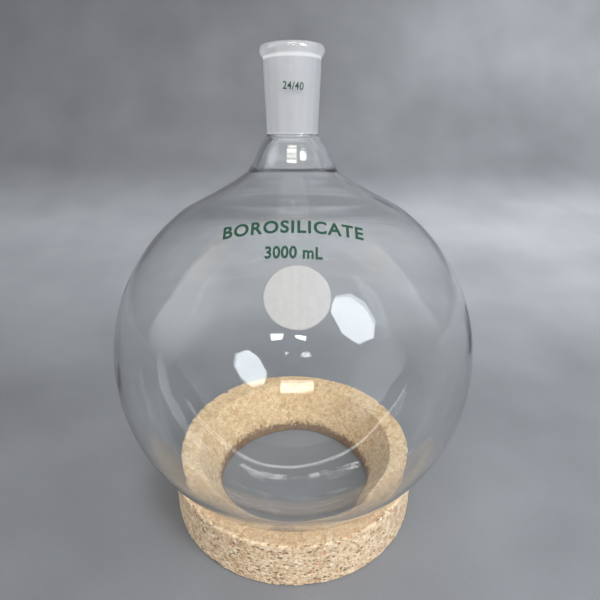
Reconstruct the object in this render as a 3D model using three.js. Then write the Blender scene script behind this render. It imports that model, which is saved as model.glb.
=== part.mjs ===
// Round-bottom boiling flask, 3 litre, with a 24/40 standard-taper socket joint,
// seated on an agglomerated-cork support ring.  Millimetres, +Z up.
// Origin: centre of the ring's underside, on the bench.  The front of the flask,
// which carries the marking spot, faces -Y.  The flask lies loose in the ring
// and leans back towards +Y, so that the spot looks up at the front.
import * as THREE from "three";
import { mergeVertices } from "three/addons/utils/BufferGeometryUtils.js";

const { degToRad, radToDeg } = THREE.MathUtils;

// ---- cork ring ----------------------------------------------------------
const RING_OUTER_R = 140 / 2;
const RING_BORE_R = 93 / 2;
const RING_H = 30.5;
const RING_BORE_H = 6.5;      // top of the straight bore, where the sloping seat starts
const RING_SEAT_R = 57.9;     // where the slope would meet the flat top if left sharp
const RING_EDGE = 0.8;        // broken edges
const SEAT_ROUND_R = 1.6;     // rounded upper edge of the seat, where the flask rests

// ---- flask --------------------------------------------------------------
const BULB_R = 185 / 2;
const WALL = 2.3;             // bulb wall
const BULB_TOP_DEG = 45;      // the sphere gives way to the crown this far above its equator
const REST_GAP = 0.25;        // bulb to cork
const LEAN_DEG = 16.1;        // the neck leans back towards +Y

// ---- marking spot -------------------------------------------------------
const SPOT_R = 13.4;
const SPOT_T = 0.3;
const SPOT_GAP = 0.05;        // bulb to underside of the enamel
const SPOT_ELEVATION = 30.75; // degrees above the bulb's equator

// ---- 24/40 socket joint, heights above the bulb's centre ----------------
const SEAL_Z = 109.6;         // flame seal between the bulb's neck and the joint
const SEAL_OUTER_R = 13.2;
const SEAL_INNER_R = 10.05;
const BORE_LENGTH = 40;       // ground bore
const BORE_SMALL_R = 20 / 2;
const BORE_LARGE_R = 24 / 2;
const BORE_SMALL_Z = 110.15;
const BORE_LARGE_Z = BORE_SMALL_Z + BORE_LENGTH;
const RIM_Z = 151.5;

// ---- facets -------------------------------------------------------------
const TURNED_SEGMENTS = 48;   // round the ring, the bulb and the joint
const SPOT_SEGMENTS = 36;     // round the spot
const BULB_STEP_DEG = 7.5;    // along the bulb's profile
const SEAT_ROUND_STEPS = 4;   // along the rounded edge of the seat
const SPOT_STEPS = 4;         // from the spot's middle to its edge

// ---- materials ----------------------------------------------------------
const cork = new THREE.MeshStandardMaterial({ color: 0xcfae7c, roughness: 0.9, metalness: 0 });
const clearGlass = new THREE.MeshStandardMaterial({
  color: 0xdfe6e8,
  roughness: 0.05,
  metalness: 0,
  transparent: true,
  opacity: 0.3,
});
const groundGlass = new THREE.MeshStandardMaterial({
  color: 0xe4e6ea,
  roughness: 0.6,
  metalness: 0,
  transparent: true,
  opacity: 0.7,
});
const whiteEnamel = new THREE.MeshStandardMaterial({
  color: 0xd9d7d4,
  roughness: 0.7,
  metalness: 0,
});

// ---- helpers ------------------------------------------------------------
// Turns a profile of [radius, height] pairs about +Z.  A profile that starts and
// ends on the axis, or that closes on itself, gives one closed solid.
function turned(profile, segments = TURNED_SEGMENTS) {
  const lathe = new THREE.LatheGeometry(
    profile.map(([radius, height]) => new THREE.Vector2(radius, height)),
    segments,
  );
  // Normals and texture coordinates would keep the seam's vertices apart.
  lathe.deleteAttribute("normal");
  lathe.deleteAttribute("uv");
  lathe.rotateX(Math.PI / 2); // the lathe turns about +Y
  const merged = mergeVertices(lathe, 1e-4);

  // Merging leaves collapsed triangles where the profile touches the axis.
  const corners = merged.index.array;
  const kept = [];
  for (let i = 0; i < corners.length; i += 3) {
    const [a, b, c] = corners.slice(i, i + 3);
    if (a !== b && b !== c && a !== c) kept.push(a, b, c);
  }
  merged.setIndex(kept);

  const faceted = merged.toNonIndexed();
  faceted.computeVertexNormals();
  return faceted;
}

// Points of a circular arc in the [radius, height] plane, angles in degrees from +radius.
function arc([centreR, centreZ], arcRadius, from, to, steps) {
  return Array.from({ length: steps + 1 }, (_, i) => {
    const angle = degToRad(from + ((to - from) * i) / steps);
    return [centreR + arcRadius * Math.cos(angle), centreZ + arcRadius * Math.sin(angle)];
  });
}

function named(name, geometry, material) {
  const mesh = new THREE.Mesh(geometry, material);
  mesh.name = name;
  return mesh;
}

// ---- cork ring ----------------------------------------------------------
const seatSlope = Math.atan2(RING_H - RING_BORE_H, RING_SEAT_R - RING_BORE_R);
const seatRoundCentre = [
  RING_SEAT_R + SEAT_ROUND_R * Math.tan(seatSlope / 2),
  RING_H - SEAT_ROUND_R,
];

function corkRing() {
  const profile = [
    [RING_BORE_R, RING_EDGE],
    [RING_BORE_R + RING_EDGE, 0],
    [RING_OUTER_R - RING_EDGE, 0],
    [RING_OUTER_R, RING_EDGE],
    [RING_OUTER_R, RING_H - RING_EDGE],
    [RING_OUTER_R - RING_EDGE, RING_H],
    ...arc(seatRoundCentre, SEAT_ROUND_R, 90, 90 + radToDeg(seatSlope), SEAT_ROUND_STEPS),
    [RING_BORE_R, RING_BORE_H],
    [RING_BORE_R, RING_EDGE],
  ];
  return named("cork_ring", turned(profile), cork);
}

// ---- flask bulb, with its crown and neck --------------------------------
// The crown leaves the sphere as a shallow cone and meets the neck in a tight
// hollow; the neck waists in to the small end of the joint.
// Both tables: [radius, height above the bulb's centre].
const NECK_OUTER = [ // upwards
  [62.0, 68.43], [54.0, 74.9], [46.0, 79.15], [39.0, 82.7], [33.0, 86.0],
  [28.0, 88.95], [24.6, 91.2], [22.6, 92.65], [22.05, 93.35], [21.2, 94.85],
  [20.2, 96.6], [19.2, 98.4], [18.3, 100.4], [17.45, 102.4], [16.45, 104.6],
  [15.45, 106.6], [14.6, 108.2], [13.7, 109.2], [SEAL_OUTER_R, SEAL_Z],
];
const NECK_INNER = [ // downwards
  [SEAL_INNER_R, SEAL_Z], [10.5, 108.3], [11.9, 106.5], [13.2, 104.4], [14.4, 102.0],
  [15.4, 99.4], [16.3, 97.2], [17.5, 95.0], [19.1, 92.9], [21.0, 91.1], [23.3, 89.3],
  [26.8, 86.9], [31.9, 83.95], [37.9, 80.6], [44.9, 77.05], [52.7, 72.95], [60.5, 66.75],
];

function flaskBulb() {
  const steps = (BULB_TOP_DEG + 90) / BULB_STEP_DEG;
  const profile = [
    ...arc([0, 0], BULB_R, -90, BULB_TOP_DEG, steps),
    ...NECK_OUTER,
    ...NECK_INNER,
    ...arc([0, 0], BULB_R - WALL, BULB_TOP_DEG, -90, steps),
  ];
  return named("flask_bulb", turned(profile), clearGlass);
}

// ---- ground joint -------------------------------------------------------
// [radius, height above the bulb's centre]: up the outside, over the beaded rim,
// down the tapered bore.
const JOINT_PROFILE = [
  [SEAL_OUTER_R, SEAL_Z], [12.8, 110.1], [12.65, 111.0], [12.75, 114.0],
  [13.35, 128.0], [13.9, 140.0], [14.1, 145.1],
  [14.5, 146.0], [15.2, 147.0], [15.65, 148.2], [15.65, 149.4], [15.2, 150.6],
  [14.4, 151.3], [13.7, RIM_Z], [13.0, RIM_Z], [12.35, 151.0],
  [BORE_LARGE_R, BORE_LARGE_Z],
  [(BORE_LARGE_R + BORE_SMALL_R) / 2, (BORE_LARGE_Z + BORE_SMALL_Z) / 2],
  [BORE_SMALL_R, BORE_SMALL_Z],
  [SEAL_INNER_R, SEAL_Z], [SEAL_OUTER_R, SEAL_Z],
];

const groundJoint = () => named("ground_joint", turned(JOINT_PROFILE), groundGlass);

// ---- marking spot -------------------------------------------------------
// A thin cap of fired enamel that follows the bulb, turned about its own middle
// and then swung down from +Z to the front.
function markingSpot() {
  const innerR = BULB_R + SPOT_GAP;
  const edgeDeg = 90 - radToDeg(Math.asin(SPOT_R / BULB_R));
  const profile = [
    ...arc([0, 0], innerR, 90, edgeDeg, SPOT_STEPS),
    ...arc([0, 0], innerR + SPOT_T, edgeDeg, 90, SPOT_STEPS),
  ];
  const holder = new THREE.Group();
  holder.rotation.x = degToRad(90 - SPOT_ELEVATION);
  holder.add(named("marking_spot", turned(profile, SPOT_SEGMENTS), whiteEnamel));
  return holder;
}

// ---- assembly -----------------------------------------------------------
// The bulb rests on the seat's rounded edge: its centre is one bulb radius, the
// rounding and the gap away from the rounding's centre.
function leaningFlask() {
  const [roundR, roundZ] = seatRoundCentre;
  const reach = BULB_R + SEAT_ROUND_R + REST_GAP;
  const flask = new THREE.Group();
  flask.position.z = roundZ + Math.sqrt(reach ** 2 - roundR ** 2);
  flask.rotation.x = -degToRad(LEAN_DEG);
  flask.add(flaskBulb(), groundJoint(), markingSpot());
  return flask;
}

const object = new THREE.Group();
object.add(corkRing(), leaningFlask());

export default object;
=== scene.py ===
"""Round-bottom flask leaning back in its cork ring: glass, ground joint, enamel and cork.

Sizes are in mm until a mesh is made. +Z is up, -Y the front and +X the right. The ring stands on
z = 0 round the Z axis. The flask's own frame has its origin at the bulb's centre and +Z up the
neck; in the row's frame that neck leans back, towards +Y.
"""
import math

import bmesh
import bpy
import numpy as np
from mathutils import Matrix, Vector, kdtree


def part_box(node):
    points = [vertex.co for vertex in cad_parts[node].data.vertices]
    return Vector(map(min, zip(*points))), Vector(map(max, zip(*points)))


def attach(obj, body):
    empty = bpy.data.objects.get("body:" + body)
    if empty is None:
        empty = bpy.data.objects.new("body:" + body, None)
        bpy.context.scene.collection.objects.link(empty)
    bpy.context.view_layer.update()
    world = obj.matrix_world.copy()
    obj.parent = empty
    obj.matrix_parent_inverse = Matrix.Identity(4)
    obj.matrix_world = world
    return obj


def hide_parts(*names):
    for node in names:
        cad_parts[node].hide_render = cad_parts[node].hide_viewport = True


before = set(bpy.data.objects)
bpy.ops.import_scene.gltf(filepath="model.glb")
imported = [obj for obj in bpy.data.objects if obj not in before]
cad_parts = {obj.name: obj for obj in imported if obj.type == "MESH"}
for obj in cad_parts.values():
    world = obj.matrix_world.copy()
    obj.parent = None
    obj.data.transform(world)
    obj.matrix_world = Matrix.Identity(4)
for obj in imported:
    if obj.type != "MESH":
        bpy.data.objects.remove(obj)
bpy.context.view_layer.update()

MM = 0.001

# --------------------------------------------------------------------------
# Sizes (mm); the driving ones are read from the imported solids
# --------------------------------------------------------------------------
bulb_low, bulb_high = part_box("flask_bulb")
ring_low, ring_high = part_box("cork_ring")
BULB_R = (bulb_high[0] - bulb_low[0]) / 2 / MM
RING_R = (ring_high[0] - ring_low[0]) / 2 / MM
RING_H = ring_high[2] / MM

# the ring's conical seat runs from its top land down to a short straight bore
RING_BORE_R, RING_BORE_H = 46.5, 6.5
RING_SEAT_R = 57.9
SEAT_ROUND = 1.6  # rounding where the seat meets the land
SEAT_ANGLE = math.atan2(RING_H - RING_BORE_H, RING_SEAT_R - RING_BORE_R)
SEAT_ROUND_R = RING_SEAT_R + SEAT_ROUND * math.tan(SEAT_ANGLE / 2)

# the bulb rests on that rounding
REST_GAP = 0.25
BULB_Z = RING_H - SEAT_ROUND + math.sqrt(
    (BULB_R + SEAT_ROUND + REST_GAP) ** 2 - SEAT_ROUND_R ** 2)

# heights in the flask's own frame
LEAN = math.radians(16.1)
WALL = 2.3
CREASE_Z = 93.5                        # the tight hollow where the neck leaves the crown
SEAL_Z = 109.6                         # flame seal between bulb and joint
GROUND_LOW, GROUND_HIGH = 110.15, 151.2  # ground part of the bore
RIM_Z = 151.5

GLASS_IOR = 1.473


def turn_back(vectors):
    """Directions from the flask's frame to the row's."""
    x, y, z = np.moveaxis(np.asarray(vectors, float), -1, 0)
    cos, sin = math.cos(LEAN), math.sin(LEAN)
    return np.stack([x, cos * y + sin * z, -sin * y + cos * z], -1)


def lean(points):
    """Points from the flask's frame to the row's."""
    return turn_back(points) + np.array([0.0, 0.0, BULB_Z])


# --------------------------------------------------------------------------
# Curves and surfaces of revolution
# --------------------------------------------------------------------------
def spline(points, step):
    """Centripetal Catmull-Rom curve through the points, sampled about every step mm."""
    pts = np.asarray(points, float)
    pts = np.vstack([2 * pts[0] - pts[1], pts, 2 * pts[-1] - pts[-2]])
    # which knots each stage of the Barry-Goldman pyramid blends between
    stages = (((0, 1), (1, 2), (2, 3)), ((0, 2), (1, 3)), ((1, 2),))
    out = []
    for i in range(1, len(pts) - 2):
        four = pts[i - 1:i + 3]
        knots = [0.0]
        for start, end in zip(four[:-1], four[1:]):
            knots.append(knots[-1] + np.linalg.norm(end - start) ** 0.5)
        count = max(1, int(math.ceil(np.linalg.norm(four[2] - four[1]) / step)))
        for j in range(count):
            at = knots[1] + (knots[2] - knots[1]) * j / count
            level = four
            for stage in stages:
                level = [
                    (knots[b] - at) / (knots[b] - knots[a]) * level[i_]
                    + (at - knots[a]) / (knots[b] - knots[a]) * level[i_ + 1]
                    for i_, (a, b) in enumerate(stage)]
            out.append(level[0])
    out.append(pts[-2])
    return [tuple(point) for point in out]


def arc(centre_r, centre_z, radius, start, stop, steps):
    """Arc of a profile, from start to stop degrees."""
    angles = [math.radians(start + (stop - start) * i / steps) for i in range(steps + 1)]
    return [(centre_r + radius * math.cos(angle), centre_z + radius * math.sin(angle))
            for angle in angles]


def line(start, end, step):
    """Points about every step mm from start up to, but without, end."""
    count = max(1, int(round(math.dist(start, end) / step)))
    return [(start[0] + (end[0] - start[0]) * i / count,
             start[1] + (end[1] - start[1]) * i / count) for i in range(count)]


def turn(profile, segments):
    """Grid of points [profile index, azimuth index, xyz], from the front round by the right."""
    prof = np.asarray(profile, float)
    azimuth = np.linspace(0, 2 * np.pi, segments, endpoint=False)
    grid = np.zeros((len(prof), segments, 3))
    grid[:, :, 0] = prof[:, 0:1] * np.sin(azimuth)
    grid[:, :, 1] = -prof[:, 0:1] * np.cos(azimuth)
    grid[:, :, 2] = prof[:, 1:2]
    return grid


def grid_normals(grid, closed):
    """Unit normals of a turned grid; closed says that the profile is a loop."""
    around = np.roll(grid, -1, 1) - np.roll(grid, 1, 1)
    if closed:
        along = np.roll(grid, -1, 0) - np.roll(grid, 1, 0)
    else:
        along = np.gradient(grid, axis=0)
    normals = np.cross(along * 0 + around, along)
    length = np.linalg.norm(normals, axis=2, keepdims=True)
    return normals / np.maximum(length, 1e-12)


def wavy(points, seed, size):
    """A smooth field of about -1 to 1 that changes over about size mm, from seeded waves."""
    draw = np.random.default_rng(seed)
    total = np.zeros(points.shape[:-1])
    for _ in range(14):
        way = draw.normal(size=3)
        way /= np.linalg.norm(way)
        pitch = 2 * math.pi / (size * draw.uniform(0.7, 1.6))
        total += np.sin(points @ way * pitch + draw.uniform(0, 6.28))
    return total / 4.5


# --------------------------------------------------------------------------
# Mesh helpers
# --------------------------------------------------------------------------
def link_object(name, data):
    ob = bpy.data.objects.new(name, data)
    bpy.context.scene.collection.objects.link(ob)
    return ob


def mesh_object(name, verts, faces, mats, smooth=False):
    """Mesh object from vertices in metres."""
    mesh = bpy.data.meshes.new(name)
    mesh.from_pydata(verts, [], faces)
    mesh.polygons.foreach_set("use_smooth", [smooth] * len(mesh.polygons))
    for mat in mats:
        mesh.materials.append(mat)
    return link_object(name, mesh)


def smooth_mesh(name, verts, faces, mats):
    """Smooth mesh object from vertices in mm."""
    metres = [tuple(vert) for vert in np.asarray(verts) * MM]
    return mesh_object(name, metres, faces, mats, smooth=True)


def ring_face(row, next_row, j):
    """Quad between two rows of vertex numbers, or a triangle where one row is a pole."""
    after = (j + 1) % len(row)
    return list(dict.fromkeys((row[j], row[after], next_row[after], next_row[j])))


def face_out(ob):
    """Make a closed mesh's faces point outwards."""
    bm = bmesh.new()
    bm.from_mesh(ob.data)
    bmesh.ops.recalc_face_normals(bm, faces=bm.faces)
    if bm.calc_volume(signed=True) < 0:
        bmesh.ops.reverse_faces(bm, faces=bm.faces)
    bm.to_mesh(ob.data)
    bm.free()


def register(ob, body, solid):
    """Tell the frame what a piece rides on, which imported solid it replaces."""
    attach(ob, body)
    if solid:
        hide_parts(solid)


# --------------------------------------------------------------------------
# Node helpers
# --------------------------------------------------------------------------
class Nodes:
    """A short way to write a node tree; a node given as a value stands for its first output."""

    def __init__(self, tree):
        self.tree = tree
        tree.nodes.clear()

    def add(self, kind, inputs=None, **props):
        node = self.tree.nodes.new("ShaderNode" + kind)
        for key, value in props.items():
            setattr(node, key, value)
        for key, value in (inputs or {}).items():
            self.put(node.inputs[key], value)
        return node

    def put(self, socket, value):
        if isinstance(value, bpy.types.Node):
            value = value.outputs[0]
        if isinstance(value, bpy.types.NodeSocket):
            self.tree.links.new(value, socket)
        else:
            socket.default_value = (*value, 1) if socket.type == "RGBA" else value

    def math(self, operation, a, b=0.0):
        return self.add("Math", {0: a, 1: b}, operation=operation)

    def times(self, a, b):
        return self.math("MULTIPLY", a, b)

    def plus(self, a, b):
        return self.math("ADD", a, b)

    def minus(self, a, b):
        return self.math("SUBTRACT", a, b)

    def weigh(self, a, b, share):
        """Weighted mean, in which a has the given share."""
        return self.plus(self.times(a, share), self.times(b, 1 - share))

    def vector(self, operation, a, b):
        node = self.add("VectorMath", {0: a}, operation=operation)
        self.put(node.inputs["Scale" if operation == "SCALE" else 1], b)
        return node.outputs["Value" if operation == "DOT_PRODUCT" else "Vector"]

    def split(self, vector):
        return self.add("SeparateXYZ", {"Vector": vector}).outputs

    def ramp(self, fac, stops, interpolation="LINEAR"):
        """Colour ramp; stops are (position, colour)."""
        node = self.add("ValToRGB", {"Fac": fac})
        node.color_ramp.interpolation = interpolation
        elements = node.color_ramp.elements
        while len(elements) < len(stops):
            elements.new(0.5)
        for element, (at, colour) in zip(elements, stops):
            element.position = at
            element.color = (*colour, 1.0)
        return node

    def fade(self, value, span, to=(0, 1), smooth=False):
        """Carry the span of value over to another range, clamped."""
        return self.add("MapRange", {
            "Value": value, "From Min": span[0], "From Max": span[1],
            "To Min": to[0], "To Max": to[1],
        }, interpolation_type="SMOOTHSTEP" if smooth else "LINEAR", clamp=True)

    def mix(self, fac, a, b, blend="MIX"):
        node = self.add("Mix", {0: fac, 6: a, 7: b}, data_type="RGBA", blend_type=blend)
        return node.outputs[2]

    def tint(self, colour, by):
        return self.mix(1.0, colour, by, "MULTIPLY")

    def grey(self, value):
        return self.add("CombineColor", {"Red": value, "Green": value, "Blue": value})

    def mix_shaders(self, fac, a, b):
        return self.add("MixShader", {0: fac, 1: a, 2: b})

    def add_shaders(self, a, b):
        return self.add("AddShader", {0: a, 1: b})

    def coords(self):
        """Object coordinates, in mm."""
        return self.vector("SCALE", self.add("TexCoord").outputs["Object"], 1000.0)

    def noise(self, vector, scale, detail=3.0, roughness=0.5, output="Fac"):
        return self.add("TexNoise", {"Vector": vector, "Scale": scale, "Detail": detail,
                                     "Roughness": roughness}).outputs[output]

    def voronoi(self, vector, scale, feature="F1"):
        return self.add("TexVoronoi", {"Vector": vector, "Scale": scale}, feature=feature)

    def channels(self, cells):
        """The three random values that each Voronoi cell carries as its colour."""
        return self.add("SeparateColor", {"Color": cells.outputs["Color"]}).outputs

    def bump(self, height, strength, distance):
        return self.add("Bump", {"Strength": strength, "Distance": distance, "Height": height})

    def surface(self, shader, output="OutputMaterial"):
        self.add(output, {"Surface": shader})


def material(name):
    mat = bpy.data.materials.new(name)
    mat.use_nodes = True
    return mat, Nodes(mat.node_tree)


def see_through(net, shader, colour):
    """Surface the shader, but let rays that look for light straight through, tinted.

    What is behind the glass is lit that way.
    """
    clear = net.add("BsdfTransparent", {"Color": colour})
    path = net.add("LightPath").outputs
    seeks_light = net.math("MAXIMUM", path["Is Shadow Ray"], path["Is Diffuse Ray"])
    net.surface(net.mix_shaders(seeks_light, shader, clear))


def mirrored(net, back_wall=False):
    """1 for what is seen mirrored in the glass, 0 for light that falls on cork, enamel and floor.

    back_wall narrows it to the mirror image in the flask's back wall.
    """
    path = net.add("LightPath").outputs
    is_mirrored = net.times(net.math("GREATER_THAN", path["Glossy Depth"], 0.5),
                            net.math("LESS_THAN", path["Diffuse Depth"], 0.5))
    if back_wall:
        through_walls = net.math("GREATER_THAN", path["Transmission Depth"], 3.5)
        is_mirrored = net.times(is_mirrored, through_walls)
    return is_mirrored


def flask_axes(net, point):
    """x, y, z along the flask's own axes, with z still counted from the floor."""
    return net.split(net.add("VectorRotate", {
        "Vector": point, "Center": (0, 0, BULB_Z), "Angle": LEAN}, rotation_type="X_AXIS"))


# --------------------------------------------------------------------------
# Materials
# --------------------------------------------------------------------------
def clear_glass():
    mat, net = material("clear_borosilicate_glass")
    point = net.coords()
    wave = net.noise(point, scale=0.035, detail=2.0)
    bump = net.bump(wave, strength=0.25, distance=0.00035)
    # painted shade: a thin dark line is painted into the glass's tint along the tight hollow where
    # the neck leaves the crown
    above_crease = net.minus(flask_axes(net, point)[2], BULB_Z + CREASE_Z)
    painted_crease_line = net.fade(net.math("ABSOLUTE", above_crease), span=(0.18, 0.50), to=(1, 0),
                      smooth=True)
    tint = net.mix(net.times(painted_crease_line, 0.95), (0.975, 0.985, 0.982), (0.10, 0.11, 0.115))
    glass = net.add("BsdfPrincipled", {
        "Base Color": tint, "Roughness": 0.0, "IOR": GLASS_IOR,
        "Transmission Weight": 1.0, "Normal": bump})
    # the worked neck and the bead mirror with both faces of the wall at once
    height = net.plus(above_crease, CREASE_Z)
    neck = net.times(net.fade(height, span=(93.7, 94.4)),
                     net.fade(height, span=(108.8, 109.4), to=(1, 0)))
    worked = net.math("MAXIMUM", neck, net.fade(height, span=(146.0, 147.0)))
    shine = net.grey(net.times(worked, 0.058))
    gloss = net.add("BsdfGlossy", {"Color": shine, "Roughness": 0.0, "Normal": bump})
    both = net.add_shaders(glass, gloss)
    # light loses more where it grazes the wall
    graze = net.add("LayerWeight", {"Blend": 0.35}).outputs["Facing"]
    through = net.ramp(net.math("POWER", graze, 2.5), [
        (0.0, (1.0, 1.0, 1.0)), (0.5, (0.90, 0.905, 0.91)), (1.0, (0.55, 0.56, 0.57))])
    see_through(net, both, through)
    return mat


def ground_glass():
    mat, net = material("ground_glass")
    point = net.coords()
    fine = net.noise(point, scale=2.2, detail=4.0, roughness=0.6)
    # the grinding runs round the taper, with a few faint streaks up it
    x, y, z = flask_axes(net, point)
    azimuth = net.math("ARCTAN2", x, y)

    def drawn_out(around, along, detail, roughness):
        """Noise with its own scale round the joint and along it."""
        stretched = net.add("CombineXYZ", {"X": net.times(azimuth, around),
                                           "Y": net.times(z, along)})
        return net.noise(stretched, scale=1.0, detail=detail, roughness=roughness)

    streaks = drawn_out(around=3.2, along=0.02, detail=3.0, roughness=0.6)
    lines = drawn_out(around=0.8, along=2.4, detail=2.0, roughness=0.5)
    white = net.ramp(net.weigh(streaks, lines, share=0.6),
                     [(0.3, (0.70, 0.70, 0.715)), (0.7, (0.84, 0.84, 0.85))])
    bump = net.bump(fine, strength=0.35, distance=0.00008)
    glass = net.add("BsdfPrincipled", {
        "Base Color": (0.96, 0.965, 0.975), "Roughness": 0.62, "IOR": GLASS_IOR,
        "Transmission Weight": 1.0, "Normal": bump})
    diffuse = net.add("BsdfDiffuse", {"Color": white, "Normal": bump})
    translucent = net.add("BsdfTranslucent", {"Color": white, "Normal": bump})
    haze = net.mix_shaders(0.58, diffuse, translucent)
    body = net.mix_shaders(0.86, glass, haze)
    # painted light: the hollow under the bead and the foot of the ground zone glow with a painted
    # emission, standing in for light that the frosting gathers there
    height = net.minus(z, BULB_Z)
    painted_glow_under_bead = net.times(net.fade(height, span=(144.6, 145.9), smooth=True),
                       net.fade(height, span=(146.2, 148.2), to=(1, 0), smooth=True))
    from_foot = net.math("ABSOLUTE", net.minus(height, 110.5))
    foot = net.fade(from_foot, span=(0.15, 0.6), to=(0.5, 0), smooth=True)
    painted_glow_mask = net.math("MAXIMUM", painted_glow_under_bead, net.times(foot, 0.5))
    # painted glow: emission on the glass, which is no lamp
    glow = net.add("Emission", {"Color": (1, 1, 1), "Strength": net.times(painted_glow_mask, 0.32)})
    mat.cycles.emission_sampling = "NONE"
    see_through(net, net.add_shaders(body, glow), (0.78, 0.78, 0.79))
    return mat


def seal_glass():
    """The flame seal inside the wall, where the two glasses are one and nothing shows."""
    mat, net = material("fused_seal")
    net.surface(net.add("BsdfTransparent", {"Color": (1, 1, 1)}))
    return mat


def white_enamel():
    mat, net = material("white_enamel")
    point = net.coords()
    mottle = net.noise(point, scale=0.35, detail=4.0, roughness=0.6)
    stretched = net.vector("MULTIPLY", point, (0.6, 0.10, 0.10))
    streak = net.noise(stretched, scale=1.0, detail=2.0)
    colour = net.ramp(net.weigh(mottle, streak, share=0.55),
                      [(0.3, (0.335, 0.328, 0.322)), (0.7, (0.375, 0.368, 0.362))])
    grain = net.noise(point, scale=4.0, roughness=0.6)
    net.surface(net.add("BsdfPrincipled", {
        "Base Color": colour, "Roughness": 0.62, "Specular IOR Level": 0.35,
        "Normal": net.bump(grain, strength=0.3, distance=0.00006)}))
    return mat


def green_enamel():
    mat, net = material("green_enamel")
    wear = net.noise(net.coords(), scale=1.6, roughness=0.6)
    colour = net.ramp(wear, [(0.3, (0.006, 0.042, 0.024)), (0.75, (0.012, 0.07, 0.04))])
    net.surface(net.add("BsdfPrincipled", {
        "Base Color": colour, "Roughness": 0.45, "Specular IOR Level": 0.4}))
    return mat


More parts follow.
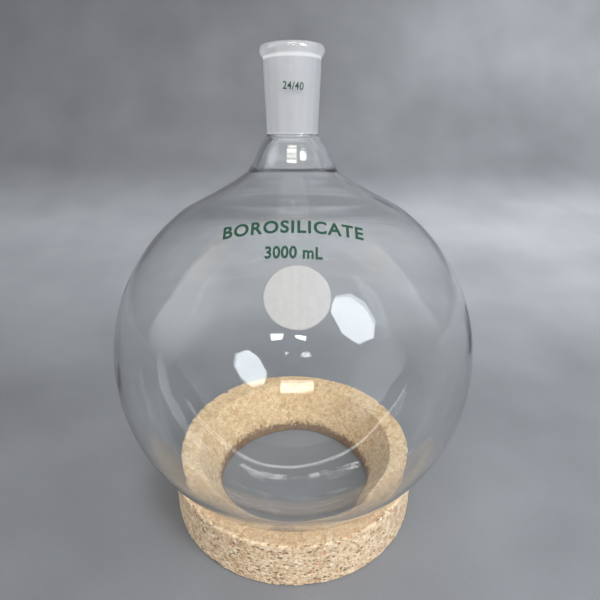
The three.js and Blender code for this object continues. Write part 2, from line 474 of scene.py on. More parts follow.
def cork():
    mat, net = material("agglomerated_cork")
    point = net.coords()
    # bend the coordinates a little, so that the granules aren't clean polygons
    bend = net.noise(point, scale=0.9, detail=2.0, output="Color")
    offset = net.vector("SCALE", net.vector("SUBTRACT", bend, (0.5, 0.5, 0.5)), 1.3)
    bent = net.vector("ADD", point, offset)

    def sparse(cells, channel, above, span):
        """1 in the middle of the few cells whose random channel is above a value."""
        picked = net.math("GREATER_THAN", net.channels(cells)[channel], above)
        return net.times(picked, net.fade(cells.outputs["Distance"], span=span, to=(1, 0)))

    # large and small granules, each in its own tan
    large = net.voronoi(bent, scale=0.42)
    small = net.voronoi(bent, scale=0.95)
    edge = net.voronoi(bent, scale=0.42, feature="DISTANCE_TO_EDGE").outputs["Distance"]
    large_random = net.channels(large)
    small_random = net.channels(small)
    large_tan = net.ramp(large_random[0], [
        (0.0, (0.27, 0.145, 0.065)), (0.10, (0.43, 0.265, 0.135)), (0.28, (0.60, 0.415, 0.235)),
        (0.65, (0.74, 0.555, 0.35)), (1.0, (0.87, 0.71, 0.49))])
    small_tan = net.ramp(small_random[1], [
        (0.0, (0.28, 0.155, 0.07)), (0.12, (0.50, 0.32, 0.17)), (0.45, (0.71, 0.52, 0.32)),
        (1.0, (0.90, 0.755, 0.545))])
    colour = net.mix(0.5, large_tan, small_tan)
    # cells inside a granule
    cells = net.noise(point, scale=2.6, detail=4.0, roughness=0.65)
    colour = net.mix(net.fade(cells, span=(0.35, 0.7)), colour,
                     net.tint(colour, (0.86, 0.78, 0.68)))
    # glue lines and dark specks of bark
    glue = net.fade(edge, span=(0.0, 0.10), to=(0.38, 0))
    colour = net.mix(glue, colour, (0.26, 0.14, 0.065))
    speck = sparse(net.voronoi(bent, scale=0.6), channel=2, above=0.90, span=(0.20, 0.42))
    colour = net.mix(net.times(speck, 0.75), colour, (0.13, 0.065, 0.03))
    # small torn holes, longer along the ring than up it, and fewer signs of them off the wall;
    # painted shade makes them near black
    flat = net.vector("MULTIPLY", bent, (1.0, 1.0, 2.6))
    hole = sparse(net.voronoi(flat, scale=0.47), channel=0, above=0.855, span=(0.24, 0.40))
    x, y, z = net.split(point)
    radius = net.math("SQRT", net.plus(net.times(x, x), net.times(y, y)))
    wall_span = (RING_R - 2.0, RING_R - 0.8)
    hole_and_painted_shade = net.times(hole, net.fade(radius, span=wall_span, to=(0.35, 1)))
    colour = net.mix(hole_and_painted_shade, colour, (0.045, 0.022, 0.012))
    # a few reddish granules
    reddish = net.times(net.math("GREATER_THAN", large_random[1], 0.965), 0.55)
    colour = net.mix(reddish, colour, (0.42, 0.17, 0.06))
    # the shade inside the modelled pits
    pit = net.add("Attribute", attribute_name="pit").outputs["Fac"]
    colour = net.mix(net.times(pit, 0.94), colour, (0.05, 0.025, 0.013))
    # wide darker patches
    patch = net.noise(point, scale=0.11, roughness=0.6)
    colour = net.mix(net.fade(patch, span=(0.42, 0.68), to=(0, 0.34)), colour,
                     (0.50, 0.325, 0.17))
    # painted light: the outer wall is painted paler and cooler than the seat, standing in for the
    # cool light that falls on it
    outside = net.fade(radius, span=wall_span)
    # the seat is cut smooth, so its granules differ less; painted light makes it paler and cooler
    # towards the front
    seat = net.mix(0.30, colour, (0.62, 0.45, 0.265))
    painted_light_front_to_back = net.fade(y, span=(-50.0, 50.0), smooth=True)
    seat = net.tint(seat, net.mix(painted_light_front_to_back, (1.22, 1.30, 1.42), (1.00, 0.99, 0.94)))
    # painted shade: the front of the top land is painted darker
    front_land_painted_shade = net.times(net.fade(radius, span=(RING_SEAT_R, RING_SEAT_R + 2.5)),
                           net.fade(y, span=(-46.0, -14.0), to=(1, 0), smooth=True))
    seat = net.mix(front_land_painted_shade, seat, net.tint(seat, (0.72, 0.67, 0.63)))
    # painted light: here the outer wall gets its paler, cooler tint
    colour = net.mix(outside, seat, net.tint(colour, (1.08, 1.17, 1.32)))
    # painted shade: the short straight bore below the seat is painted dark, with a ragged upper
    # edge
    crumbs = net.noise(point, scale=0.55, detail=4.0, roughness=0.7)
    ragged = net.times(net.minus(crumbs, 0.5), 17.0)
    under_seat = net.fade(net.plus(z, ragged), span=(RING_BORE_H - 0.6, RING_BORE_H + 2.6),
                          to=(1, 0), smooth=True)
    bore_painted_shade = net.times(under_seat, net.fade(
        radius, span=(RING_BORE_R + 2.4, RING_BORE_R + 4.5), to=(1, 0)))
    colour = net.mix(net.times(bore_painted_shade, 0.85), colour, net.tint(colour, (0.28, 0.20, 0.15)))
    # fine relief: cells stand up, holes and glue lines are sunk
    height = net.plus(
        net.minus(net.times(cells, 0.6), net.times(hole_and_painted_shade, 1.2)),
        net.plus(net.times(small_random[0], 0.35),
                 net.fade(edge, span=(0.0, 0.12), to=(-0.4, 0))))
    net.surface(net.add("BsdfPrincipled", {
        "Base Color": colour, "Roughness": 0.86, "Specular IOR Level": 0.25,
        "Normal": net.bump(height, strength=0.7, distance=0.00028),
        "Sheen Weight": 0.08, "Sheen Roughness": 0.5}))
    return mat


GLASS_MATS = [clear_glass(), ground_glass(), seal_glass()]
CLEAR_SLOT, GROUND_SLOT, SEAL_SLOT = range(3)
MAT_WHITE, MAT_GREEN, MAT_CORK = white_enamel(), green_enamel(), cork()


# --------------------------------------------------------------------------
# Flask: one wall, turned as one surface, then parted at the flame seal
# --------------------------------------------------------------------------
FLASK_SEGMENTS = 240
CROWN_ANGLE = 134.0  # degrees up from the bulb's bottom, where the ball gives way to the neck

# all four outlines are (radius, height), in the order in which the profile runs
NECK_OUTSIDE = [
    (62.0, 68.43), (54.0, 74.9), (46.0, 79.15), (39.0, 82.7), (33.0, 86.0), (28.0, 88.95),
    (24.6, 91.2), (22.75, 92.5), (22.45, 92.75), (22.2, 93.1), (21.95, 93.5), (21.2, 94.85),
    (20.2, 96.6), (19.2, 98.4), (18.3, 100.4), (17.45, 102.4), (16.45, 104.6), (15.45, 106.6),
    (14.6, 108.2), (13.7, 109.2), (13.2, 109.6)]
JOINT_OUTSIDE = [
    (12.8, 110.1), (12.65, 111.0), (12.75, 114.0), (13.35, 128.0), (13.9, 140.0),
    (14.1, 145.1), (14.5, 146.0), (15.2, 147.0), (15.65, 148.2), (15.65, 149.4),
    (15.2, 150.6), (14.4, 151.3), (13.7, 151.5)]
RIM_INSIDE = [(13.35, 151.56), (13.0, 151.5), (12.35, 151.0), (12.0, 150.15)]
NECK_INSIDE = [
    (10.05, 109.6), (10.5, 108.3), (11.9, 106.5), (13.2, 104.4), (14.4, 102.0), (15.4, 99.4),
    (16.3, 97.2), (17.5, 95.0), (19.1, 92.9), (21.0, 91.1), (23.3, 89.3), (26.8, 86.9),
    (31.9, 83.95), (37.9, 80.6), (44.9, 77.05), (52.7, 72.95), (60.5, 66.75)]
BORE_TAPER, BORE_LENGTH = 2.0, 40.0  # radius lost over the length of the ground bore

# rings left by the tool that closed the neck: foot height, top height, how far it stands out
TOOL_RINGS = [
    (97.9, 99.2, 0.050), (99.2, 99.9, 0.018), (99.9, 100.6, 0.018), (100.6, 101.3, 0.018),
    (101.3, 102.0, 0.018), (102.05, 102.7, 0.026), (103.45, 104.05, 0.026),
    (104.85, 105.6, 0.035)]


def ball(radius, degrees):
    """Profile point on a ball, counted up from its bottom."""
    angle = math.radians(degrees)
    return (radius * math.sin(angle), -radius * math.cos(angle))


def tooled(radius, z):
    """The neck's radius at z with the tool rings added."""
    for low, high, proud in TOOL_RINGS:
        if low < z < high:
            radius += proud * (1 - math.cos(2 * math.pi * (z - low) / (high - low))) / 2
    return radius, z


def flask_profile():
    """Closed wall profile: up the outside, over the rim and down the inside.

    Returns it with the row numbers of the rim and of the seal outside and inside.
    """
    outer_ball = [ball(BULB_R, a) for a in np.arange(0, CROWN_ANGLE + 0.01, 2.0)]
    inner_ball = [ball(BULB_R - WALL, a) for a in np.arange(CROWN_ANGLE, -0.01, -2.0)]

    upper = spline(outer_ball[-3:] + NECK_OUTSIDE + JOINT_OUTSIDE, 0.5)
    first = next(i for i, q in enumerate(upper) if q[1] > outer_ball[-1][1] + 0.05)
    # the wide shoulder needs only every other point
    upper = [q for i, q in enumerate(upper[first:]) if q[0] < 28.0 or i % 2 == 0]
    # the tooled stretch needs finer points
    fine = spline(NECK_OUTSIDE[7:], 0.13)
    upper = ([q for q in upper if q[1] < 95.6]
             + [tooled(*q) for q in fine if 95.7 < q[1] < 105.9]
             + [q for q in upper if q[1] > 106.0])

    rim = spline(JOINT_OUTSIDE[-2:] + RIM_INSIDE, 0.2)
    first = next(i for i, q in enumerate(rim) if q[0] < 13.69 and q[1] > 151.3)
    rim = [(radius, min(z, RIM_Z)) for radius, z in rim[first:]]

    top_r, top_z = RIM_INSIDE[-1]
    bore = [(top_r - BORE_TAPER * t, top_z - BORE_LENGTH * t) for t in np.linspace(0.01, 1.0, 60)]
    foot_r = top_r - BORE_TAPER
    lower = spline([(foot_r + 0.1, GROUND_LOW + 2.0), (foot_r, GROUND_LOW)]
                   + NECK_INSIDE + inner_ball[:3], 0.8)
    lower = [q for q in lower if inner_ball[0][1] + 0.05 < q[1] < GROUND_LOW - 0.1]

    prof = np.array(outer_ball + upper + rim + bore + lower + inner_ball)
    rim_row = int(np.argmax(prof[:, 1] + (prof[:, 0] < 13.3) * 1e-3))
    from_seal = np.abs(prof[:, 1] - SEAL_Z)
    outer_seal = int(np.argmin(from_seal[:rim_row]))
    inner_seal = rim_row + int(np.argmin(from_seal[rim_row:]))
    prof[[outer_seal, inner_seal], 1] = SEAL_Z
    return prof, rim_row, outer_seal, inner_seal


PROFILE, RIM_ROW, OUTER_SEAL, INNER_SEAL = flask_profile()


def flask_wall():
    """Points and normals of the whole wall, in the flask's frame."""
    grid = turn(PROFILE, FLASK_SEGMENTS)
    # blown glass isn't even: the inside of the wall wanders by about a tenth of a millimetre
    is_inner = np.zeros(len(PROFILE))
    is_inner[INNER_SEAL:] = np.clip((104.0 - PROFILE[INNER_SEAL:, 1]) / 12.0, 0, 1)
    radial = grid / np.maximum(np.linalg.norm(grid, axis=2, keepdims=True), 1e-9)
    amount = wavy(grid, 7, 46.0) * 0.10 + wavy(grid, 8, 22.0) * 0.02
    wall = grid + radial * (amount * is_inner[:, None])[:, :, None]
    wall[-1] = wall[-1].mean(0)
    normals = grid_normals(wall, False)
    normals[0] = (0, 0, -1)
    normals[-1] = (0, 0, 1)
    # the outside of the wall faces away from the axis
    if normals[40, 0] @ grid[40, 0] < 0:
        normals[1:-1] *= -1
    return wall, normals


WALL_POINTS, WALL_NORMALS = flask_wall()


def wall_slot(row):
    """Material slot of the wall between a profile row and the next."""
    middle = (PROFILE[row, 1] + PROFILE[row + 1, 1]) / 2
    is_ground = row > RIM_ROW and GROUND_LOW < middle < GROUND_HIGH
    return GROUND_SLOT if is_ground else CLEAR_SLOT


def wall_part(name, rows, seal):
    """A closed piece of the wall from the rows given, with a flat face between the seal rows."""
    points, directions = lean(WALL_POINTS), turn_back(WALL_NORMALS)
    numbers, verts, vert_normals = {}, [], []
    for row in rows:
        pole = PROFILE[row, 0] == 0
        count = 1 if pole else FLASK_SEGMENTS
        start = len(verts)
        numbers[row] = [start] * FLASK_SEGMENTS if pole else list(range(start, start + count))
        verts.extend(points[row, :count])
        vert_normals.extend(directions[row, :count])
    joins = [(a, b, wall_slot(a)) for a, b in zip(rows[:-1], rows[1:]) if b == a + 1]
    joins.append((*seal, SEAL_SLOT))
    faces, slots = [], []
    for row, next_row, slot in joins:
        faces += [ring_face(numbers[row], numbers[next_row], j) for j in range(FLASK_SEGMENTS)]
        slots += [slot] * FLASK_SEGMENTS
    verts = np.array(verts)
    volume = 0.0
    for face in faces:
        for i in range(1, len(face) - 1):
            volume += np.dot(verts[face[0]], np.cross(verts[face[i]], verts[face[i + 1]]))
    if volume < 0:
        faces = [face[::-1] for face in faces]
    corner_normals = []
    for face, slot in zip(faces, slots):
        if slot == SEAL_SLOT:
            first, second, third = verts[face[:3]]
            normal = np.cross(second - first, third - first)
            normal /= np.linalg.norm(normal)
            corner_normals += [tuple(normal)] * len(face)
        else:
            corner_normals += [tuple(vert_normals[v]) for v in face]
    ob = smooth_mesh(name, verts, faces, GLASS_MATS)
    ob.data.polygons.foreach_set("material_index", slots)
    ob.data.normals_split_custom_set(corner_normals)
    ob.data.update()
    return ob


def make_flask():
    bulb_rows = [*range(0, OUTER_SEAL + 1), *range(INNER_SEAL, len(PROFILE))]
    joint_rows = list(range(OUTER_SEAL, INNER_SEAL + 1))
    bulb = wall_part("flask_bulb_glass", bulb_rows, (OUTER_SEAL, INNER_SEAL))
    joint = wall_part("ground_joint_glass", joint_rows, (INNER_SEAL, OUTER_SEAL))
    register(bulb, "flask", "flask_bulb")
    register(joint, "flask", "ground_joint")


make_flask()


# --------------------------------------------------------------------------
# Marking spot: a thin cap of white enamel on the bulb's front
# --------------------------------------------------------------------------
SPOT_R, SPOT_ELEVATION = 13.4, 30.75
SPOT_RINGS, SPOT_SEGMENTS = 26, 144
SPOT_GAP = 0.03                        # between glass and enamel
SPOT_EDGE, SPOT_SWELL = 0.05, 0.10     # thickness at the edge, and what the middle adds


def on_ball(x, y, elevation, height):
    """Row position x mm right and y mm up from an elevation on the bulb's front.

    height is how far it stands off the glass.
    """
    angle = math.radians(elevation)
    centre = np.array([0, -math.cos(angle), math.sin(angle)])
    north = np.array([0, math.sin(angle), math.cos(angle)])
    reach = np.hypot(x, y)
    swing = reach / BULB_R
    per_mm = np.where(reach > 1e-9, np.sin(swing) / np.maximum(reach, 1e-9), 1 / BULB_R)
    way = (np.cos(swing)[..., None] * centre
           + (per_mm * x)[..., None] * np.array([1.0, 0, 0])
           + (per_mm * y)[..., None] * north)
    return lean((BULB_R + height)[..., None] * way)


def make_spot():
    half = BULB_R * math.asin(SPOT_R / BULB_R)
    azimuth = np.linspace(0, 2 * np.pi, SPOT_SEGMENTS, endpoint=False)
    wobble = (1 + 0.004 * np.sin(3 * azimuth + 1) + 0.003 * np.sin(7 * azimuth)
              + 0.002 * np.sin(17 * azimuth + 2))
    verts, sides = [], []
    for is_top in (False, True):
        rows = []
        for ring in range(SPOT_RINGS + 1):
            out = ring / SPOT_RINGS
            reach = half * out * wobble
            swell = np.clip((1 - out) / 0.035, 0, 1) ** 0.5
            thick = SPOT_EDGE + SPOT_SWELL * swell if is_top else 0.0
            points = on_ball(reach * np.sin(azimuth), reach * np.cos(azimuth), SPOT_ELEVATION,
                             np.full(SPOT_SEGMENTS, SPOT_GAP + thick))
            start = len(verts)
            if ring == 0:
                rows.append([start] * SPOT_SEGMENTS)
                verts.append(points[0])
            else:
                rows.append(list(range(start, start + SPOT_SEGMENTS)))
                verts.extend(points)
        sides.append(rows)
    bottom, top = sides
    joins = [*zip(bottom[:-1], bottom[1:]), *zip(top[:-1], top[1:]), (bottom[-1], top[-1])]
    faces = [ring_face(row, after, j) for row, after in joins for j in range(SPOT_SEGMENTS)]
    ob = smooth_mesh("marking_spot_enamel", verts, faces, [MAT_WHITE])
    face_out(ob)
    register(ob, "flask", "marking_spot")


make_spot()


# --------------------------------------------------------------------------
# Fired green print: plain lettering wrapped on the glass
# --------------------------------------------------------------------------
PRINT_ELEVATION = 46.0
PRINT_THICK = 0.05
JOINT_PRINT_R = 13.5  # radius that turns widths on the joint into angles


def on_bulb(x, y, depth):
    height = 0.035 + PRINT_THICK * depth
    return on_ball(np.array(x), np.array(y), PRINT_ELEVATION, np.array(height))


def on_joint(x, z, depth):
    outside = PROFILE[OUTER_SEAL:RIM_ROW]
    radius = float(np.interp(z, outside[:, 1], outside[:, 0])) + 0.04 + PRINT_THICK * depth
    angle = x / JOINT_PRINT_R
    return lean((radius * math.sin(angle), -radius * math.cos(angle), z))


# name, text, (width, height), stroke weight, spacing, surface, centre on it, tilt in degrees
PRINTS = [
    ("print_capacity", "3000 mL", (23.4, 6.1), 0.03, 1.07, on_bulb, (-1.05, -5.1), -2.2),
    ("print_glass_type", "BOROSILICATE", (60.0, 7.3), 0.026, 1.12, on_bulb, (-1.0, 8.3), -1.5),
    ("print_joint_size", "24/40", (9.8, 3.5), 0.010, 1.1, on_joint, (0.2, 131.9), -3.5),
]


def flat_text(text, size, weight, spacing):
    """Closed bmesh of a line of lettering, centred, of the given size in mm, 0 to 1 in z."""
    curve = bpy.data.curves.new("line", "FONT")
    curve.body = text
    curve.size = 1.0
    curve.extrude = 0.5
    curve.offset = weight
    curve.space_character = spacing
    curve.resolution_u = 6
    ob = link_object("line", curve)
    bpy.context.view_layer.update()
    solid = ob.evaluated_get(bpy.context.evaluated_depsgraph_get())
    mesh = bpy.data.meshes.new_from_object(solid)
    bpy.data.objects.remove(ob)
    bm = bmesh.new()
    bm.from_mesh(mesh)
    bmesh.ops.remove_doubles(bm, verts=bm.verts, dist=1e-5)
    for axis in (0, 1):
        values = [v.co[axis] for v in bm.verts]
        low, high = min(values), max(values)
        for v in bm.verts:
            v.co[axis] = (v.co[axis] - (high + low) / 2) * (size[axis] / (high - low))
    for v in bm.verts:
        v.co.z += 0.5
    # long edges are split so that the faces follow the curved glass
    bmesh.ops.triangulate(bm, faces=bm.faces)
    for _ in range(5):
        long = [e for e in bm.edges
                if e.calc_length() > 1.3 and abs(e.verts[0].co.z - e.verts[1].co.z) < 0.5]
        if not long:
            break
        bmesh.ops.subdivide_edges(bm, edges=long, cuts=1)
        bmesh.ops.triangulate(bm, faces=bm.faces)
    bmesh.ops.dissolve_degenerate(bm, dist=1e-5, edges=bm.edges)
    bmesh.ops.recalc_face_normals(bm, faces=bm.faces)
    return bm


def make_print(name, text, size, weight, spacing, surface, centre, tilt):
    bm = flat_text(text, size, weight, spacing)
    cos, sin = math.cos(math.radians(tilt)), math.sin(math.radians(tilt))
    for v in bm.verts:
        x = centre[0] + cos * v.co.x - sin * v.co.y
        y = centre[1] + sin * v.co.x + cos * v.co.y
        v.co = Vector(surface(x, y, v.co.z)) * MM
    bmesh.ops.recalc_face_normals(bm, faces=bm.faces)
    mesh = bpy.data.meshes.new(name)
    bm.to_mesh(mesh)
    bm.free()
    mesh.materials.append(MAT_GREEN)
    register(link_object(name, mesh), "flask", None)


for entry in PRINTS:
    make_print(*entry)


# --------------------------------------------------------------------------
# Cork ring
# --------------------------------------------------------------------------
RING_SEGMENTS = 620
RING_STEP, RING_FOOT_STEP = 0.68, 3.0  # profile spacing, and that of the flat underside
FOOT_ROUND, TOP_ROUND = 0.8, 1.0


def ring_path():
    """Closed (radius, height) loop: underside, outer wall, land, seat and bore."""
    foot, top = FOOT_ROUND, TOP_ROUND
    seat_round = arc(SEAT_ROUND_R, RING_H - SEAT_ROUND, SEAT_ROUND,
                     90, 90 + math.degrees(SEAT_ANGLE), 5)
    bore_top = (RING_BORE_R, RING_BORE_H)
    return [
        *line((RING_BORE_R + foot, 0), (RING_R - foot, 0), RING_FOOT_STEP),
        *arc(RING_R - foot, foot, foot, -90, 0, 3)[:-1],
        *line((RING_R, foot), (RING_R, RING_H - top), RING_STEP),
        *arc(RING_R - top, RING_H - top, top, 0, 90, 4)[:-1],
        *line((RING_R - top, RING_H), seat_round[0], RING_STEP),
        *seat_round[:-1],
        *line(seat_round[-1], bore_top, RING_STEP),
        *line(bore_top, (RING_BORE_R, foot), RING_STEP),
        *arc(RING_BORE_R + foot, foot, foot, 180, 270, 3)[:-1],
    ]


def nearest(points, sites, count, stretch):
    """Distances from each point to its nearest sites, and the number of the nearest one."""
    tree = kdtree.KDTree(len(sites))
    for i, site in enumerate(sites * stretch):
        tree.insert(site, i)
    tree.balance()
    distances = np.zeros((len(points), count))
    which = np.zeros(len(points), int)
    for i, point in enumerate(points * stretch):
        found = tree.find_n(point, count)
        distances[i] = [hit[2] for hit in found]
        which[i] = found[0][1]
    return distances, which


def scatter(rng, cell, keep=1.0):
    """Jittered points, one per cell, in the shell of cork near the surface."""
    reach = int(RING_R / cell) + 1
    across = np.arange(-reach, reach + 1)
    up = np.arange(-1, int(RING_H / cell) + 2)
    sites = np.stack(np.meshgrid(across, across, up, indexing="ij"), -1)
    sites = sites.reshape(-1, 3).astype(float)
    sites = (sites + rng.uniform(0, 1, sites.shape)) * cell
    radius = np.hypot(sites[:, 0], sites[:, 1])
    sites = sites[(radius > RING_BORE_R - cell) & (radius < RING_R + cell)]
    return sites[rng.uniform(0, 1, len(sites)) < keep]


def cork_relief(points):
    """How far each point of the ring moves along its normal, and how deep in a pit it is."""
    rng = np.random.default_rng(20)
    x, y, z = points.T
    radius = np.hypot(x, y)
    on_wall = (radius > RING_R - 1.2) & (z > 0.3)
    on_land = (z > RING_H - 0.3) & ~on_wall

    # granules: each stands a little high or low, with a groove round it
    seeds = scatter(rng, 2.3)
    near, which = nearest(points, seeds, 2, np.array([1.0, 1.0, 1.25]))
    lift = rng.uniform(-0.16, 0.02, len(seeds))[which]
    groove = np.clip(1 - (near[:, 1] - near[:, 0]) / 0.5, 0, 1)
    depth = (lift - 0.14 * groove) * np.where(on_wall, 1.0, np.where(on_land, 0.45, 0.6))

    # pits and torn granules, most of them on the moulded outer wall
    pits = scatter(rng, 2.7, keep=0.75)
    size = rng.uniform(0.40, 1.20, len(pits)) ** 1.3
    far, which = nearest(points, pits, 1, np.array([1.0, 1.0, 1.45]))
    ragged = 1 + 0.25 * np.sin(x * 3.1 + z * 2.3)
    rough = size[which] * np.where(on_wall, 1.0, 0.52) * ragged
    pit = np.clip((rough - far[:, 0]) / 0.26, 0, 1)
    depth -= pit * np.where(on_wall, 0.75, 0.35)

    # crumbled spots along the upper and lower outer edges
    edge_gap = np.minimum(np.abs(z - RING_H), np.abs(z))
    crumb = (np.clip(wavy(points, 31, 5.5) - 0.35, 0, 1)
             * np.clip(1 - edge_gap / 1.6, 0, 1) * (radius > RING_R - 1.8))
    # and the torn lip where the seat turns down into the bore
    lip_gap = np.hypot(np.maximum(radius - RING_BORE_R, 0), z - RING_BORE_H)
    torn = (np.clip(wavy(points, 33, 3.6) * 0.8 + 0.25, 0, 1)
            * np.clip(1 - lip_gap / 2.6, 0, 1) * (radius < RING_SEAT_R))
    crumb = np.maximum(crumb, torn)
    depth -= 0.8 * crumb

    # the underside stays nearly flat
    depth[(z < 0.25) & (radius > RING_BORE_R + 1) & (radius < RING_R - 1)] = 0.0
    depth += 0.05 * wavy(points, 32, 9.0) - 0.05
    return np.minimum(depth, 0.0), np.clip(pit + 0.6 * crumb, 0, 1)


def make_ring():
    path = ring_path()
    grid = turn(path, RING_SEGMENTS)
    normals = grid_normals(grid, True)
    wall_row = int(np.argmax(grid[:, 0, 1] < -RING_R + 0.01))
    if normals[wall_row, 0] @ np.array([0, -1, 0]) < 0:
        normals = -normals
    points = grid.reshape(-1, 3)
    depth, pit = cork_relief(points)
    moved = points + normals.reshape(-1, 3) * depth[:, None]
    moved[:, 2] = np.maximum(moved[:, 2], 0.0)
    rows = np.arange(len(points)).reshape(len(path), RING_SEGMENTS).tolist()
    faces = [ring_face(row, after, j) for row, after in zip(rows, rows[1:] + rows[:1])
             for j in range(RING_SEGMENTS)]
    ob = smooth_mesh("cork_ring_body", moved, faces, [MAT_CORK])
    face_out(ob)
    attribute = ob.data.attributes.new("pit", "FLOAT", "POINT")
    attribute.data.foreach_set("value", pit.astype(np.float32))
    register(ob, "ring", "cork_ring")


make_ring()


# --------------------------------------------------------------------------
# Stage floor: a pale sheet that curves up behind the flask
# --------------------------------------------------------------------------
def pale_paper():
    mat, net = material("pale_paper")
    point = net.coords()
    grain = net.noise(point, scale=1.1, detail=4.0, roughness=0.6)
    cloud = net.noise(point, scale=0.012, detail=2.0)
    colour = net.ramp(net.weigh(grain, cloud, share=0.35),
                      [(0.3, (0.148, 0.153, 0.163)), (0.7, (0.200, 0.206, 0.218))])
    # painted light: a brighter band is painted where the sheet starts to rise, and the sheet is
    # painted darker behind it
    x, y, z = net.split(point)
    along = net.plus(y, net.times(z, 1.3))
    painted_light_band = net.ramp(net.fade(along, span=(-400.0, 2000.0)), [
        (at, (grey, grey, grey)) for at, grey in (
            (0.0, 1.02), (0.20, 1.06), (0.28, 1.75), (0.33, 2.08),
            (0.42, 0.92), (0.52, 0.82), (0.75, 0.80))], "EASE")
    # painted light: the sheet is painted lighter to the right, most of all at the back
    painted_side_light = net.fade(net.plus(x, net.times(y, 0.12)), span=(-320.0, 380.0), to=(0.84, 1.22),
                    smooth=True)
    painted_back_right_light = net.times(net.fade(along, span=(680.0, 900.0), smooth=True),
                           net.fade(x, span=(60.0, 330.0), to=(0, 0.50), smooth=True))
    painted_side_light = net.times(painted_side_light, net.plus(1.0, painted_back_right_light))
    colour = net.tint(net.tint(colour, painted_light_band), net.grey(painted_side_light))
    net.surface(net.add("BsdfPrincipled", {
        "Base Color": colour, "Roughness": 0.75, "Specular IOR Level": 0.25,
        "Normal": net.bump(grain, strength=0.15, distance=0.0001)}))
    return mat


def make_floor():
    # metres: where the sheet starts to rise, its bend, its top, its reach and drop below z = 0
    start, radius, top, reach, drop = 0.42, 0.30, 1.6, 4.0, 0.0002
    path = [(-reach, 0.0), (start, 0.0)]
    for i in range(1, 25):
        angle = math.radians(90 * i / 24)
        path.append((start + radius * math.sin(angle), radius - radius * math.cos(angle)))
    path.append((start + radius, top))
    verts = [(x, y, z - drop) for y, z in path for x in (-reach, reach)]
    faces = [(2 * i, 2 * i + 1, 2 * i + 3, 2 * i + 2) for i in range(len(path) - 1)]
    mesh_object("stage_sweep", verts, faces, [pale_paper()], smooth=True)


make_floor()


# --------------------------------------------------------------------------
# Soft boxes, and bands of painted reflection that the glass mirrors
# --------------------------------------------------------------------------
BOX_DISTANCE = 2.0  # metres from the bulb's centre
BACK_WALL_GAIN = 0.28  # share of a box's mirrored glow that the back wall's image adds


def direction(elevation, azimuth):
    """Unit vector from the bulb's centre; azimuth 0 is the front and positive to the right."""
    up, around = math.radians(elevation), math.radians(azimuth)
    return np.array([math.cos(up) * math.sin(around), -math.cos(up) * math.cos(around),
                     math.sin(up)])


def lamp_sheet(name, verts, faces, mat):
    ob = mesh_object(name, verts, faces, [mat])
    ob.visible_camera = False


def soft_box(name, corners, colour, strength, seen):
    """A flat lamp whose corners lie in the given (elevation, azimuth) directions.

    strength is what it lights the bench with, seen is how bright its mirror image is.
    """
    centre = np.mean([direction(*corner) for corner in corners], 0)
    centre /= np.linalg.norm(centre)
    origin = np.array([0, 0, BULB_Z * MM])
    ways = [direction(*corner) for corner in corners]
    verts = [tuple(origin + way * BOX_DISTANCE / (way @ centre)) for way in ways]
    mat, net = material(name + "_glow")
    glow = net.plus(strength, net.times(mirrored(net), seen - strength))
    glow = net.plus(glow, net.times(mirrored(net, back_wall=True), BACK_WALL_GAIN * seen))
    net.surface(net.add("Emission", {"Color": colour, "Strength": glow}))
    lamp_sheet(name, verts, [tuple(range(len(verts)))], mat)


def key_corners():
    """The key box's corners, from an outline square to the direction of its centre."""
    centre = direction(42.2, 48.5)
    right = np.cross([0, 0, 1], centre)
    right /= np.linalg.norm(right)
    up = np.cross(centre, right)
    outline = (  # (right, up), as tangents of the angle off the centre
        (-0.045, 0.273), (0.112, 0.20), (0.178, 0.055), (0.174, -0.14),
        (0.083, -0.263), (-0.114, -0.239), (-0.21, -0.062), (-0.182, 0.173))
    corners = []
    for x, y in outline:
        way = centre + right * x + up * y
        way /= np.linalg.norm(way)
        corners.append((math.degrees(math.asin(way[2])),
                        math.degrees(math.atan2(way[0], -way[1]))))
    return corners


# name, corners, colour, strength on the bench, strength when mirrored
SOFT_BOXES = [
    ("stage_key_box", key_corners(), (0.90, 0.95, 1.0), 13.5, 8.4),
    ("stage_top_box", [(60.8, 19.9), (58.4, -30.5), (64.8, -38.0), (68.0, 27.3)],
     (1.0, 0.96, 0.86), 12.0, 8.0),
    ("stage_strip_left", [(40.6, -18.2), (41.6, -8.2), (38.1, -9.8), (37.4, -16.6)],
     (1, 1, 1), 14.0, 19.0),
    ("stage_strip_right", [(41.0, -0.5), (40.4, 7.4), (37.9, 6.6), (39.3, 0.6)],
     (1, 1, 1), 14.0, 22.0),
]

# painted reflections: glowing bands that stand for the far edge of the lit sheet and its creases
BAND_Y = 400
# name, middle line as (x, z), half height, strength, scale of the noise that breaks it up
PAINTED_REFLECTION_BANDS = [
    ("stage_far_edge_painted_reflection",
     [(-960, 250), (-917, 275), (-750, 400), (-597, 484), (-281, 476), (-107, 456), (16, 448),
      (135, 456), (279, 474), (486, 474), (676, 431), (900, 340)], 21, 3.8, None),
    ("stage_far_crease_left_painted_reflection", [(205, 341), (101, 326), (26, 327)], 17, 9.0, 0.045),
    ("stage_far_crease_right_painted_reflection", [(-27, 321), (-122, 309), (-212, 263)], 18, 9.0, 0.022),
    ("stage_far_crease_low_painted_reflection", [(120, 120), (14, 112), (-80, 104)], 16, 0.9, 0.02),
]


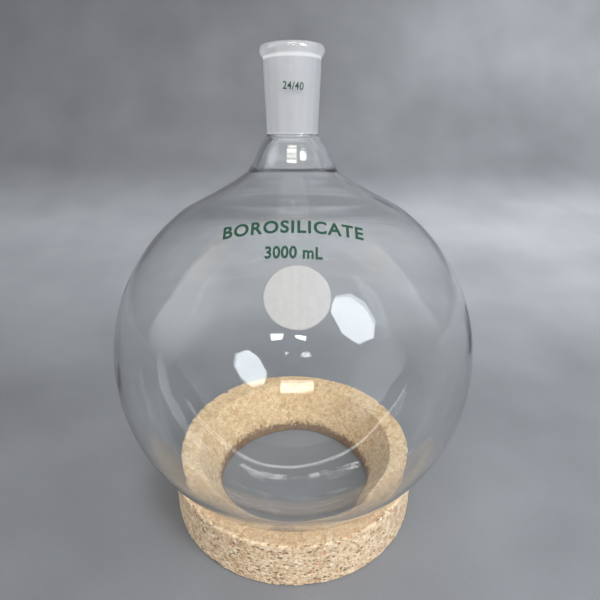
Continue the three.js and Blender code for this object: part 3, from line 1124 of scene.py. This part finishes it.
def painted_reflection_band(name, middle, half, seen, broken):
    """A painted reflection: a bright upright band behind the flask that shows only mirrored in its
    back wall.
    """
    mat, net = material(name + "_glow")
    glow = net.times(mirrored(net, back_wall=True), seen)
    if broken:
        rough = net.noise(net.coords(), scale=broken, roughness=0.7)
        glow = net.times(glow, net.fade(rough, span=(0.44, 0.58)))
    emission = net.add("Emission", {"Color": (1, 1, 1), "Strength": glow})
    clear = net.add("BsdfTransparent", {"Color": (1, 1, 1)})
    net.surface(net.mix_shaders(mirrored(net, back_wall=True), clear, emission))
    mat.cycles.emission_sampling = "NONE"
    count = len(middle)
    verts = [(x * MM, BAND_Y * MM, (z + up) * MM) for up in (half, -half) for x, z in middle]
    faces = [(i, i + 1, count + i + 1, count + i) for i in range(count - 1)]
    lamp_sheet(name, verts, faces, mat)


for entry in SOFT_BOXES:
    soft_box(*entry)
for entry in PAINTED_REFLECTION_BANDS:
    painted_reflection_band(*entry)


# --------------------------------------------------------------------------
# World: one sky lights the bench, another is what the glass mirrors
# --------------------------------------------------------------------------
# ramps are (position, colour) from just below the horizon to overhead; lobes are
# elevation, azimuth, inner and outer angle, weight, colour
# the light that falls on the bench comes mostly from the front
SKY_RAMP = [(0.0, (0.46, 0.46, 0.47)), (0.30, (0.52, 0.52, 0.53)), (0.6, (0.62, 0.62, 0.63)),
            (1.0, (0.80, 0.80, 0.81))]
SKY_LOBES = [(18, 6, 10, 62, 1.0, (1.70, 1.69, 1.67)), (32, -75, 10, 50, 0.25, (1.5, 1.5, 1.5)),
             (26, 88, 10, 55, 0.50, (1.55, 1.72, 1.95))]
# a dim room with a bright window at the left
ROOM_RAMP = [(0.0, (0.12, 0.123, 0.126)), (0.35, (0.22, 0.225, 0.23)), (0.6, (0.42, 0.43, 0.43)),
             (1.0, (0.72, 0.73, 0.73))]
ROOM_LOBES = [(30, -4, 8, 42, 0.85, (0.05, 0.055, 0.055)), (26, -92, 8, 32, 0.8, (1.5, 1.55, 1.62)),
              (20, 118, 6, 32, 0.7, (1.2, 1.24, 1.3))]


def make_world():
    world = bpy.data.worlds.new("studio")
    bpy.context.scene.world = world
    world.use_nodes = True
    net = Nodes(world.node_tree)
    way = net.add("TexCoord").outputs["Generated"]
    up = net.split(way)[2]

    def surroundings(stops, lobes):
        colour = net.ramp(net.fade(up, span=(-0.2, 1.0)), stops)
        for elevation, azimuth, inner, outer, weight, lobe_colour in lobes:
            towards = net.vector("DOT_PRODUCT", way, tuple(direction(elevation, azimuth)))
            span = (math.cos(math.radians(outer)), math.cos(math.radians(inner)))
            lobe = net.times(net.fade(towards, span=span, smooth=True), weight)
            colour = net.mix(lobe, colour, lobe_colour)
        return colour

    sky = surroundings(SKY_RAMP, SKY_LOBES)
    room = surroundings(ROOM_RAMP, ROOM_LOBES)
    colour = net.mix(mirrored(net), sky, room)
    net.surface(net.add("Background", {"Color": colour, "Strength": 1.0}), "OutputWorld")


make_world()


# --------------------------------------------------------------------------
# Camera: looks down on the bench from the front
# --------------------------------------------------------------------------
CAMERA_PLACE = (3.18, -266.49, 285.67)  # before the swing
CAMERA_PITCH, CAMERA_ROLL = math.radians(29.95), math.radians(0.37)
CAMERA_SWING = math.radians(-1.89)      # about the row's Z axis


def make_camera():
    camera = bpy.data.cameras.new("camera")
    camera.sensor_width = 36.0
    camera.lens = 36.0
    camera.clip_start = 0.01
    camera.clip_end = 50
    ob = link_object("camera", camera)
    forward = Vector((0, math.cos(CAMERA_PITCH), -math.sin(CAMERA_PITCH)))
    up = Vector((0, math.sin(CAMERA_PITCH), math.cos(CAMERA_PITCH)))
    right = Vector((1, 0, 0))
    cos, sin = math.cos(CAMERA_ROLL), math.sin(CAMERA_ROLL)
    axes = Matrix((cos * right + sin * up, -sin * right + cos * up, -forward)).transposed()
    place = Matrix.Translation(Vector(CAMERA_PLACE) * MM) @ axes.to_4x4()
    ob.matrix_world = Matrix.Rotation(CAMERA_SWING, 4, "Z") @ place
    bpy.context.scene.camera = ob


make_camera()

# --------------------------------------------------------------------------
# Render settings
# --------------------------------------------------------------------------
scene = bpy.context.scene
scene.view_settings.view_transform = "Standard"
scene.view_settings.look = "None"
scene.cycles.max_bounces = 40
scene.cycles.transmission_bounces = 34
scene.cycles.transparent_max_bounces = 24
scene.cycles.glossy_bounces = 20
scene.cycles.diffuse_bounces = 4
scene.cycles.caustics_reflective = False
scene.cycles.caustics_refractive = False
scene.cycles.use_denoising = True
